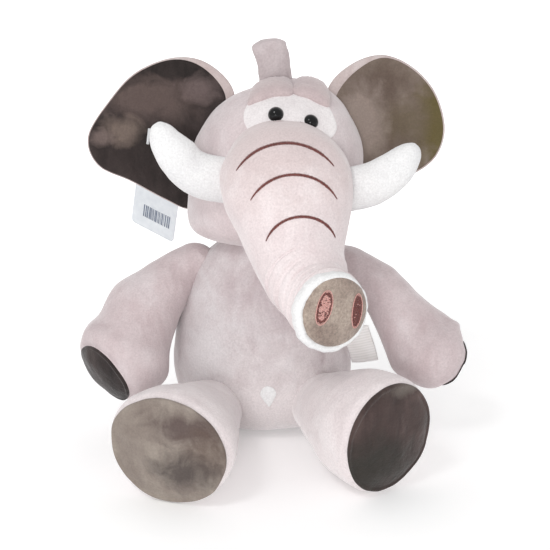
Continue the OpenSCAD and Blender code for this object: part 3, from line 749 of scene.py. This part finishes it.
TT = 9.5  # half a tusk's thickness
TUSKS = {
    "left": [
        [34, -36, 162.5, 14.0, TT, 90, 90], [40, -38, 163, 14.0, TT, 90, 90],
        [60, -41, 167.5, 13.5, TT, 78, 90], [74, -42, 176, 12.0, TT, 50, 90],
        [83, -42, 186, 8.5, 0.80 * TT, 34, 90], [85.6, -42, 191, 5.0, 0.50 * TT, 20, 90],
        [86.2, -42, 193, 1.0, 1.0, 15, 90],
    ],
    "right": [
        [-16, -36, 168, 14.0, TT, 90, -90], [-22, -38, 169, 14.0, TT, 90, -90],
        [-43, -42, 174, 14.0, TT, 76, -90], [-55, -44, 185, 12.5, TT, 46, -90],
        [-62, -45, 196, 9.5, 0.80 * TT, 24, -90], [-64.5, -45, 203, 6.0, 0.55 * TT, 10, -90],
        [-65, -45, 206, 1.0, 1.0, 5, -90],
    ],
}
for side, stations in TUSKS.items():
    # the curve lies in the section's height, so widths and heights swap into the loft's order
    rows = [[x, y, z, h, w, t, s] for x, y, z, w, h, t, s in stations]
    tusk = grid_object(f"tusk_cover_{side}", puffed(loft(rows, 80, 96), 0.3, 22, 31 + len(side), 0.06))
    finish(tusk, WHITE, "head", (f"tusk_{side}_skin", f"tusk_{side}_filling"), 1)

# ---------------------------------------------------------------- ears

EARS = {
    "left": {
        "middle": (80, 195), "material": OLIVE_EAR,
        "outline": [[36, 200], [46, 180], [60, 166], [77, 160], [96, 166], [109, 178], [113, 196], [106, 218],
                    [91, 234], [72, 241.5], [53, 236.5], [37.5, 222]],
        "inset": [3.0, 2.0, 1.0, 0.8, 0.8, 0.8, 0.8, 0.8, 0.8, 1.2, 4.5, 6.5],
        "hinge": (57, 13, 185), "out": (16, 0, 3),
    },
    "right": {
        "middle": (-76, 193), "material": DARK_EAR,
        "outline": [[-22.5, 218], [-38.5, 236], [-60, 240], [-85, 231], [-103, 213], [-117.5, 190],
                    [-112, 171], [-91, 160], [-69, 148], [-51, 142], [-38, 160], [-28, 190]],
        "inset": [5.6, 3.6, 0.8, 0.5, 0.4, 0.4, 0.4, 0.4, 0.4, 0.5, 2.0, 5.0],
        "hinge": (-44.5, 13, 180), "out": (-16, 0, 3),
    },
}


def closed_curve(points, count):
    """count rows spread along a closed smooth curve through the points."""
    pts = np.asarray(points, float)
    wrapped = np.concatenate([pts[-2:], pts, pts[:3]])
    t = np.linspace(0, len(pts), count, endpoint=False) + 2
    i = t.astype(int)
    f = (t - i)[:, None]
    return spline(wrapped[i - 1], wrapped[i], wrapped[i + 1], wrapped[i + 2], f)


def ear_middle(x, ear):
    """y of the ear's mid surface: a shallow trough that faces forward."""
    return 14 - 0.002 * (x - ear["middle"][0]) ** 2


def on_ear(line, ear, forward):
    """Points over a line of [x, z] rows, that far in front of the ear's mid surface."""
    return np.stack([line[:, 0], ear_middle(line[:, 0], ear) - forward, line[:, 1]], -1)


def ear_side(ear, outline, thick, sign, lump, seed, rim=0.0):
    """One cloth of an ear, from its outline to its middle: sign -1 for the front, 1 for the back."""
    cx, cz = ear["middle"]
    r = 1 - np.linspace(0, 1, 44) ** 1.35
    x = cx + (outline[None, :, 0] - cx) * r[:, None]
    z = cz + (outline[None, :, 1] - cz) * r[:, None]
    full = (1 - r**2.6) ** 0.5
    soft = lumps(np.stack([x, x * 0, z], -1), 30, seed) * (1 - r[:, None] ** 6)
    y = ear_middle(x, ear) + sign * (rim + (thick * full)[:, None] + lump * soft)
    return np.stack([x, y, z], -1)


EAR_SIDES = 176
for k, (side, ear) in enumerate(EARS.items()):
    outline = closed_curve(ear["outline"], EAR_SIDES)
    centre = np.array(ear["middle"], float)
    inset = closed_curve([[v, 0] for v in ear["inset"]], EAR_SIDES)[:, :1]
    toward = unit(centre - outline)
    front_line = outline + toward * inset
    # the back cloth wraps round the rim and shows as a strip where the front is cut smaller
    rim_rows = [
        on_ear(outline + (front_line - outline) * t * 1.02, ear, 4.2 * math.sqrt(t) * 0.55)
        for t in (0.0, 0.2, 0.45, 0.7, 0.9, 1.0)
    ]
    rim_rows.append(on_ear(front_line + toward * 2.5, ear, 1.0))
    back = np.concatenate([np.array(rim_rows)[::-1], ear_side(ear, outline, 4.6, 1, 0.5, 5 + k)[1:]])
    tuck = on_ear(front_line + toward * 0.6, ear, 0.2)
    front = np.concatenate([tuck[None], ear_side(ear, front_line, 3.2, -1, 0.7, 15 + k, 1.4)])
    back = back[:, ::-1]  # both cloths start from the same outline, so one is turned to look backward
    hinge = np.array(ear["hinge"], float)
    reach = np.array(ear["out"], float)
    bend = ("head", f"ear_{side}", hinge - 0.4 * reach, hinge + reach)
    cover = grid_object(f"ear_cloth_{side}_back", back, (False, True))
    finish(cover, EAR_BACK, bend, (f"ear_{side}_back", f"ear_{side}_wadding"), 1)
    cover = grid_object(f"ear_cloth_{side}_front", front, (False, True))
    finish(cover, ear["material"], bend, (f"ear_{side}_front",), 1)

# ---------------------------------------------------------------- arms and legs


def end_rows(row, bulge):
    """Stations that round off the flat end of a limb's last station."""
    x, y, z, rx, ry, tilt, yaw = row
    d = aim((0, 0, 1), tilt, yaw)
    out = []
    for share, rise in ((0.90, 0.22), (0.76, 0.52), (0.56, 0.80), (0.30, 0.96), (0.06, 1.0)):
        c = np.array([x, y, z]) + d * rise * bulge
        out.append([*c, share * rx, share * ry, tilt, yaw])
    return out


LIMB_RINGS = 120


def limb(a, bulge, seam_depth, seed):
    """A stuffed limb from its root ball to its rounded end: stations, grid and the pad's first ring."""
    rows = ball_root(a["at"], a["root"], a["tilt"], a["yaw"]) + a["rows"]
    seam = len(rows) - 1 + a["edge"]
    rows += end_rows(rows[-1], bulge)
    grid = puffed(loft(rows, LIMB_RINGS, 112), 0.7, 36, seed)
    first = ring_of(rows, LIMB_RINGS, seam)
    return rows, grooved(grid, rings_from(grid, first), seam_depth, 1.4), first


def limb_bend(a, name, back, out):
    """The torso, the limb's body, and the stretch from back behind its root to out along it."""
    d = aim((0, 0, 1), a["tilt"], a["yaw"])
    return "torso", name, a["at"] - back * d, a["at"] + out * d


ARMS = {
    "right": dict(at=(-50, -1, 107), root=15, yaw=-55, tilt=132, edge=-0.15, crease=1.1, rows=[
        [-59, -4, 103.5, 15.5, 15.5, 130, -56],
        [-68, -8, 96, 19, 18.5, 136, -52],
        [-79.5, -14, 85, 23.6, 22.4, 140, -48],
        [-87, -23, 70, 26.6, 25.5, 138, -46],
        [-91.4, -30, 57.5, 31.4, 29.4, 133, -45],
        [-99.0, -37, 49.6, 28.6, 27.2, 122, -45],
        [-104.0, -41, 46.6, 21.8, 21.4, 115, -48],
    ]),
    "left": dict(at=(43, -1, 107), root=14.5, yaw=60, tilt=124, edge=-0.05, crease=0.4, rows=[
        [52, -4, 106, 14.8, 14.5, 120, 62],
        [65.5, -9.5, 98, 15.8, 15.5, 128, 60],
        [76.5, -15.5, 88.5, 16.5, 15.8, 134, 58],
        [88, -24, 74, 21, 20, 134, 58],
        [98, -30.5, 61.5, 25.2, 24, 128, 60],
        [108.0, -36.0, 56.8, 23.8, 22.8, 119, 74],
        [112.6, -36.8, 54.2, 17.0, 16.8, 116, 114],
    ]),
}
for k, (side, a) in enumerate(ARMS.items()):
    rows, grid, first = limb(a, 5.5, 0.9, 40 + k)
    crease = rings_from(grid, ring_of(rows, LIMB_RINGS, 8.9)) + grid[..., 1] * 0.12
    grid = grooved(grid, crease, a["crease"] * step(grid[..., 2], 60, 78), 3.0)
    arm = grid_object(f"arm_cover_{side}", grid)
    bend = limb_bend(a, f"arm_{side}", 8, 20)
    finish(arm, ARM, bend, (f"arm_{side}_skin", f"arm_{side}_filling"), 1)
    pad = patch(f"hand_cloth_{side}", grid, first)
    finish(pad, DARK_PAD, f"arm_{side}", (f"hand_pad_{side}",), 1)

LEGS = {
    "right": dict(at=(-34, -28, 22), root=17, yaw=-13, tilt=85, edge=-0.3, material=BROWN, rows=[
        [-38, -46, 24.5, 20, 19.5, 88, -13],
        [-43, -68, 27, 25.5, 24, 88, -14],
        [-48.5, -92, 29.5, 32, 29, 89, -16],
        [-52.6, -108, 31.8, 36.6, 31.8, 90, -18],
        [-54.8, -119, 32.6, 38.2, 33.1, 93, -20],
        [-56.6, -128.5, 32.8, 35.8, 32.0, 95, -21],
    ]),
    "left": dict(at=(28, -26, 24), root=17, yaw=21, tilt=84, edge=-0.1, material=DARK_SOLE, rows=[
        [33, -42, 26.5, 20, 20, 86, 21],
        [41, -62, 29.5, 24.5, 25, 87, 23],
        [50.5, -84, 32.8, 29.5, 31.5, 88, 27],
        [57.6, -98, 34.8, 32.2, 34.8, 91, 30],
        [62.8, -107.5, 35.2, 32.4, 35.3, 94, 33],
        [67.8, -116.5, 35.6, 30.4, 33.4, 95, 35],
    ]),
}
for k, (side, a) in enumerate(LEGS.items()):
    _, grid, first = limb(a, 5.0, 0.8, 50 + k)
    grid[..., 2] = np.maximum(grid[..., 2], 0.0)
    leg = grid_object(f"leg_cover_{side}", grid)
    bend = limb_bend(a, f"leg_{side}", 8, 22)
    finish(leg, FRONT_LIT_LEG, bend, (f"leg_{side}_skin", f"leg_{side}_filling"), 1)
    sole = patch(f"sole_cloth_{side}", grid, first)
    finish(sole, a["material"], f"leg_{side}", (f"sole_{side}",), 1)

# ---------------------------------------------------------------- tail and tuft

TAIL = {"at": np.array([-3.0, 45, 32]), "tilt": 122, "yaw": 180}
TAIL_RINGS = 50


def tail_loft(radii, sides):
    """A loft along the tail through (distance, radius) pairs."""
    rows = [out_at(TAIL["at"], t, TAIL["tilt"], TAIL["yaw"], r) for t, r in radii]
    return loft(rows, TAIL_RINGS, sides)


TAIL_RADII = ((-6, 1), (-5, 3.6), (-2, 5.6), (2, 6), (12, 5.4), (24, 4.8), (34, 4.6), (38, 3.4), (40, 0.6))
tail = grid_object("tail_cover", puffed(tail_loft(TAIL_RADII, 48), 0.2, 14, 71, 0.05))
finish(tail, GREY, limb_bend(TAIL, "tail", 2, 8), ("tail_skin", "tail_filling"), 1)

END_RADII = ((31, 1), (31.5, 4.6), (34, 6.0), (38, 6.9), (42, 6.4), (45, 4.4), (47.6, 2.4), (48.4, 0.4))
p = tail_loft(END_RADII, 64)
a = np.linspace(0, 2 * math.pi, 64, endpoint=False)
locks = 0.35 * np.sin(9 * a + 0.25 * np.arange(TAIL_RINGS)[:, None])
tail_end = grid_object("tail_tuft_cover", p + grid_normals(p) * locks[..., None])
finish(tail_end, DARK_PAD, "tail", ("tail_tip",), 1)

TUFT_ROWS = [
    [4.0, 5, 218, 9.5, 5, 0, 0], [4.0, 5, 224, 10.4, 5, 0, 0], [3.4, 5, 230, 10.4, 5.2, 0, 0],
    [2.2, 5, 237, 10.5, 5.4, -2, 0], [0.4, 5, 243.5, 11.2, 5.4, -4, 0], [-0.4, 5, 247.6, 10.8, 4.8, -6, 0],
    [1.2, 5, 250.2, 8.4, 3.8, -6, 0], [1.8, 5, 251.6, 4.4, 2.0, -6, 0], [1.8, 5, 251.9, 0.6, 0.4, -6, 0],
]
tuft = grid_object("tuft_cover", puffed(loft(TUFT_ROWS, 70, 80), 0.35, 13, 81, 0.1))
bend = ("head", "tuft", (5, 5, 224), (5, 5, 234))
finish(tuft, TUFT, bend, ("tuft_skin", "tuft_filling"), 1)

# ---------------------------------------------------------------- face


def laid_patch(name, centre, outline, tree, rise, rings=26, lift=0.25, tuck=1.2):
    """A cloth patch laid on a surface: an XZ outline round a centre, raised by rise(r) over the surface."""
    c = np.asarray(centre, float)
    r = 1 - np.linspace(0, 1, rings) ** 1.3
    xz = c + (outline[None] - c) * r[:, None, None]
    flat = np.stack([xz[..., 0], xz[..., 0] * 0 - 80, xz[..., 1]], -1)
    base = dropped(tree, flat.reshape(-1, 3), (0, 1, 0)).reshape(flat.shape)
    n = grid_normals(base)
    if n[3:, :, 1].mean() > 0:
        base = base[:, ::-1]
        n = grid_normals(base)
    level = step(r, 0.05, 0.4)[:, None, None]
    n = unit(n * level + unit(n[3:].mean((0, 1))) * (1 - level))
    height = lift + rise(r[:, None] + 0 * base[..., 0])
    height[0] = -tuck
    return grid_object(name, base + n * height[..., None], (False, True))


def dome(height):
    """The rise of a padded patch: full at its middle, where r is 0, and nothing at its edge, where r is 1."""
    return lambda r: height * (1 - r**2.4) ** 0.55


BAND_OUTLINE = [
    [-15.8, 205], [-15, 212], [-9, 219], [2, 223], [13, 224], [25, 222], [34, 216], [39.5, 207],
    [41, 199], [34, 193], [20, 191], [0, 194], [-11, 198.5],
]
band_line = closed_curve(BAND_OUTLINE, 150)
eye_band = laid_patch("eye_band_cloth", (12, 207), band_line, head_tree, dome(0.5))
finish(eye_band, BAND, "head", ("eye_band",), 1)

BROWS = {
    "right": [[-13.4, 213.6], [-11, 221], [-5.5, 227.4], [4, 230], [12, 227], [15.2, 221.5], [12.4, 218.8],
              [3, 218.2], [-7, 215.2]],
    "left": [[13.6, 221.4], [17, 226.8], [25, 229], [32.6, 225.5], [36.6, 218.6], [36, 212.4], [31, 213.4],
             [23, 217.2], [16.4, 219]],
}
for side, points in BROWS.items():
    line = closed_curve(points, 120)
    pad = laid_patch(f"brow_cloth_{side}", line.mean(0), line, head_tree, dome(4.2), 30, 0.6, 1.6)
    finish(pad, BROW, "head", (f"brow_{side}",), 1)

EYE_PROFILE = [
    [0.2, -3], [2.8, -3], [4.6, -2.2], [4.8, -0.6], [4.55, 1.1], [3.8, 2.7], [2.6, 3.8], [1.2, 4.4],
    [0.05, 4.6],
]
EYE_TILT = 82
EYES = {"left": ((24.6, -37.0, 204.6), 10), "right": ((3.8, -37.6, 209.2), -6)}
for side, (spot, turn) in EYES.items():
    eye = grid_object(f"eye_dome_{side}", revolved(EYE_PROFILE, 64, placing(spot, EYE_TILT, turn)))
    finish(eye, EYE, "head", (f"eye_{side}",), 1)

# ---------------------------------------------------------------- belly button and labels

BUTTON_OUTLINE = [
    [-1, 42.3], [2.6, 40.6], [4.2, 37], [2.6, 33.4], [1.2, 30.4], [-0.4, 28.4], [-2.2, 30.4],
    [-4.4, 33.6], [-6.0, 37.2], [-4.4, 40.8],
]
button_line = closed_curve(BUTTON_OUTLINE, 90)
button = laid_patch("belly_button_patch", (-1, 36.5), button_line, torso_tree, dome(0.6), 20, 0.3, 0.6)
finish(button, WHITE, "torso", ("belly_button",), 1)


def slab(name, p, thick):
    """A thin sheet from a grid of points [i, j, xyz], given thickness along its own normals."""
    along = np.gradient(p, axis=0)
    across = np.gradient(p, axis=1)
    n = unit(np.cross(along, across))
    m, k = p.shape[:2]
    verts = np.concatenate([(p + n * thick / 2).reshape(-1, 3), (p - n * thick / 2).reshape(-1, 3)])
    faces = []
    for i in range(m - 1):
        for j in range(k - 1):
            a, b, c, d = i * k + j, i * k + j + 1, (i + 1) * k + j + 1, (i + 1) * k + j
            faces.append((a, d, c, b))
            faces.append((a + m * k, b + m * k, c + m * k, d + m * k))
    rim = list(range(k)) + [i * k + k - 1 for i in range(1, m)]
    rim += [(m - 1) * k + j for j in range(k - 2, -1, -1)] + [i * k for i in range(m - 2, 0, -1)]
    for a, b in zip(rim, rim[1:] + rim[:1]):
        faces.append((a, b, b + m * k, a + m * k))
    return mesh_object(name, verts, faces)


def placed(local, at, turns):
    """Points turned about X, then Y, then Z, in degrees, and moved to a place."""
    m = np.eye(3)
    for axis, angle in zip("XYZ", turns):
        m = np.array(Matrix.Rotation(math.radians(angle), 3, axis)) @ m
    return np.asarray(local, float) @ m.T + np.array(at, float)


LABEL_AT, LABEL_TURN = (58, -26, 61), (12, -12, -24)
half_wide, half_drop = 9, 13
u, v = np.meshgrid(np.linspace(-half_wide, half_wide, 24), np.linspace(-half_drop, half_drop, 36))
sway = [0.9 * np.sin(u * 0.22 + sign) + 0.7 * np.sin(v * 0.16) for sign in (-1, 1)]
apart = 0.35 + 0.9 * np.cos(np.pi * v / (2 * half_drop))
leaves = [placed(np.stack([u, y, -v], -1), LABEL_AT, LABEL_TURN) for y in (sway[0] - 0.35, apart + sway[1])]
label = slab("care_label_ribbon", np.concatenate([leaves[0], leaves[1][::-1]]), 0.35)
finish(label, SATIN, "torso", ("care_label",))

# the pin's place in the ear, and in the card's hole
PIN_TOP, PIN_LOW = np.array([-78.0, 14, 190.5]), np.array([-76.0, 36, 155.5])
CARD_TURN = (8, 17, -32)


def card_outline(w, top, bottom, r):
    """A rounded rectangle in XZ about x = 0, w its half width."""
    steps = 8
    corners = ((w - r, top - r), (-w + r, top - r), (-w + r, bottom + r), (w - r, bottom + r))
    pts = []
    for quarter, (cx, cz) in enumerate(corners):
        for k in range(steps + 1):
            t = math.radians(90 * quarter + 90 * k / steps)
            pts.append((cx + r * math.cos(t), cz + r * math.sin(t)))
    return np.array(pts)


def bow(xz):
    """How far the card curves back at x, z."""
    return 0.0006 * (xz[:, 1] + 17) ** 2 + 0.0012 * xz[:, 0] ** 2


outer = card_outline(19, 5, -39, 3.2)
angles = np.arctan2(outer[:, 1], outer[:, 0])
hole = 2.2 * np.stack([np.cos(angles), np.sin(angles)], 1)
# the card's front and back run from the hole to the outline, thinner towards both edges
edges = ((0, 0.12), (0.01, 0.28), (0.3, 0.28), (0.97, 0.28), (0.992, 0.22), (1, 0.08))
rows = [(hole + (outer - hole) * t, half) for t, half in edges]
front_rows = [np.stack([r[:, 0], -t + bow(r), r[:, 1]], -1) for r, t in rows]
back_rows = [np.stack([r[:, 0], t + bow(r), r[:, 1]], -1) for r, t in rows]
loop = np.array(front_rows + back_rows[::-1] + front_rows[:1])
card = grid_object("swing_tag_card", placed(loop, PIN_LOW, CARD_TURN), (False, False))
finish(card, CARD, "tag", ("swing_tag",))
rng = np.random.default_rng(4)
bars = []
BOX_FACES = [(0, 1, 2, 3), (7, 6, 5, 4), (0, 4, 5, 1), (1, 5, 6, 2), (2, 6, 7, 3), (3, 7, 4, 0)]
z0, z1 = -30.0, -21.0
x, bars_end = -9.0, 15
while x < bars_end:
    w = rng.choice([0.35, 0.6, 0.9])
    quad = np.array([[x, 0, z0], [x + w, 0, z0], [x + w, 0, z1], [x, 0, z1]])
    quad[:, 1] = bow(quad[:, [0, 2]]) - 0.31
    back = quad + [0, 0.05, 0]
    bars.append((placed(np.concatenate([quad, back]), PIN_LOW, CARD_TURN), BOX_FACES))
    x += w + rng.choice([0.4, 0.6, 0.9])
print_bars = joined("swing_tag_bars", bars)
finish(print_bars, INK, "tag")


def tube(path, r, sides, samples):
    """A round rod along a smooth path, r a radius or one for each sample."""
    c = catmull(path, samples)
    d = unit(np.gradient(c, axis=0))
    side = unit(np.cross(d, (0.3, 1, 0.2)))
    up = np.cross(side, d)
    a = np.linspace(0, 2 * math.pi, sides, endpoint=False)
    r = np.broadcast_to(np.asarray(r, float), (samples,))[:, None, None]
    cos, sin = np.cos(a)[None, :, None], np.sin(a)[None, :, None]
    return c[:, None] + r * (side[:, None] * cos + up[:, None] * sin)


bar_path = [PIN_TOP + [0.9, -7.4, 5.2], PIN_TOP + [0.2, -7.8, 0], PIN_TOP + [-0.6, -7.4, -5.2]]
bar = tube(bar_path, np.concatenate([[0.3, 0.8], np.ones(36), [0.8, 0.3]]), 16, 40)
line = [PIN_TOP + [0, -7.5, 0], PIN_TOP + [0, 0, -0.5], PIN_TOP + [1, 8, -4], PIN_TOP + [6, 17, -22],
        PIN_LOW + [-1, 0.8, 8], PIN_LOW + [0, 0.6, 1.6], PIN_LOW + [0, -1.6, 0.0]]
thread = tube(line, 0.35, 10, 70)
stop = tube([PIN_LOW + [-3, -1.9, -0.6], PIN_LOW + [0, -1.9, 0], PIN_LOW + [3, -1.9, 0.6]], 0.6, 12, 12)
pieces = [(g.reshape(-1, 3), grid_faces(*g.shape[:2])) for g in (bar, thread, stop)]
pin = joined("tag_pin_nylon", pieces)
finish(pin, NYLON, "ear_right", ("tag_pin",))

# ---------------------------------------------------------------- what stays of the CAD

LEFT_AS_IS = {"eye_washer_left": NYLON, "eye_washer_right": NYLON, "neck_thread": GREY_THREAD}
for name, material in LEFT_AS_IS.items():
    obj = bpy.data.objects[name]
    obj.data.materials.clear()
    obj.data.materials.append(material)

# ---------------------------------------------------------------- floor, world and light


def sweep():
    """A pale floor that curves up into a backdrop far behind."""
    m, n = 60, 12
    line = [(-3, 0), (-1, 0), (0, 0), (1, 0), (2.2, 0.02), (2.9, 0.25), (3.3, 0.9), (3.4, 2), (3.4, 4)]
    verts = [(x, y, z) for y, z in catmull(line, m) for x in np.linspace(-4, 4, n)]
    faces = [(i * n + j, i * n + j + 1, (i + 1) * n + j + 1, (i + 1) * n + j)
             for i in range(m - 1) for j in range(n - 1)]
    return mesh_object("floor_sweep", np.array(verts) / MM, faces)


floor = sweep()
FLOOR = Nodes("glowing_floor_paper")
FLOOR.link(FLOOR.ramp(FLOOR.noise(3.0), 0.3, 0.7, srgb(250, 250, 250), srgb(253, 253, 253)),
           FLOOR.shader.inputs["Base Color"])
# the floor and backdrop glow, faintly at the front and fully towards the back: painted light that whitens the
# backdrop and lights the toy from below
FLOOR.set(Roughness=0.9, Specular_IOR_Level=0.1, Emission_Strength=0.5)
split = FLOOR.new("ShaderNodeSeparateXYZ")
FLOOR.link(FLOOR.coord, split.inputs[0])
glow = FLOOR.ramp(split.outputs["Y"], 0.12, 0.9, (0.3, 0.3, 0.3, 1))
FLOOR.link(glow, FLOOR.shader.inputs["Emission Color"])
floor.data.materials.append(FLOOR.mat)

world = bpy.data.worlds.new("studio")
world.use_nodes = True
background = world.node_tree.nodes["Background"]
background.inputs["Color"].default_value = (1.0, 1.0, 1.0, 1)
background.inputs["Strength"].default_value = 0.72
scene.world = world


def area_light(name, at, target, size, power):
    data = bpy.data.lights.new(name, "AREA")
    data.shape = "DISK"
    data.size = size
    data.energy = power
    obj = bpy.data.objects.new(name, data)
    obj.location = at
    obj.rotation_euler = (Vector(target) - Vector(at)).to_track_quat("-Z", "Y").to_euler()
    scene.collection.objects.link(obj)


area_light("key", (-0.50, -0.85, 1.15), (0, 0, 0.1), 0.35, 3.0)
area_light("front", (-0.12, -1.3, 0.30), (0, 0, 0.08), 0.3, 5.0)
scene.view_settings.view_transform = "Standard"
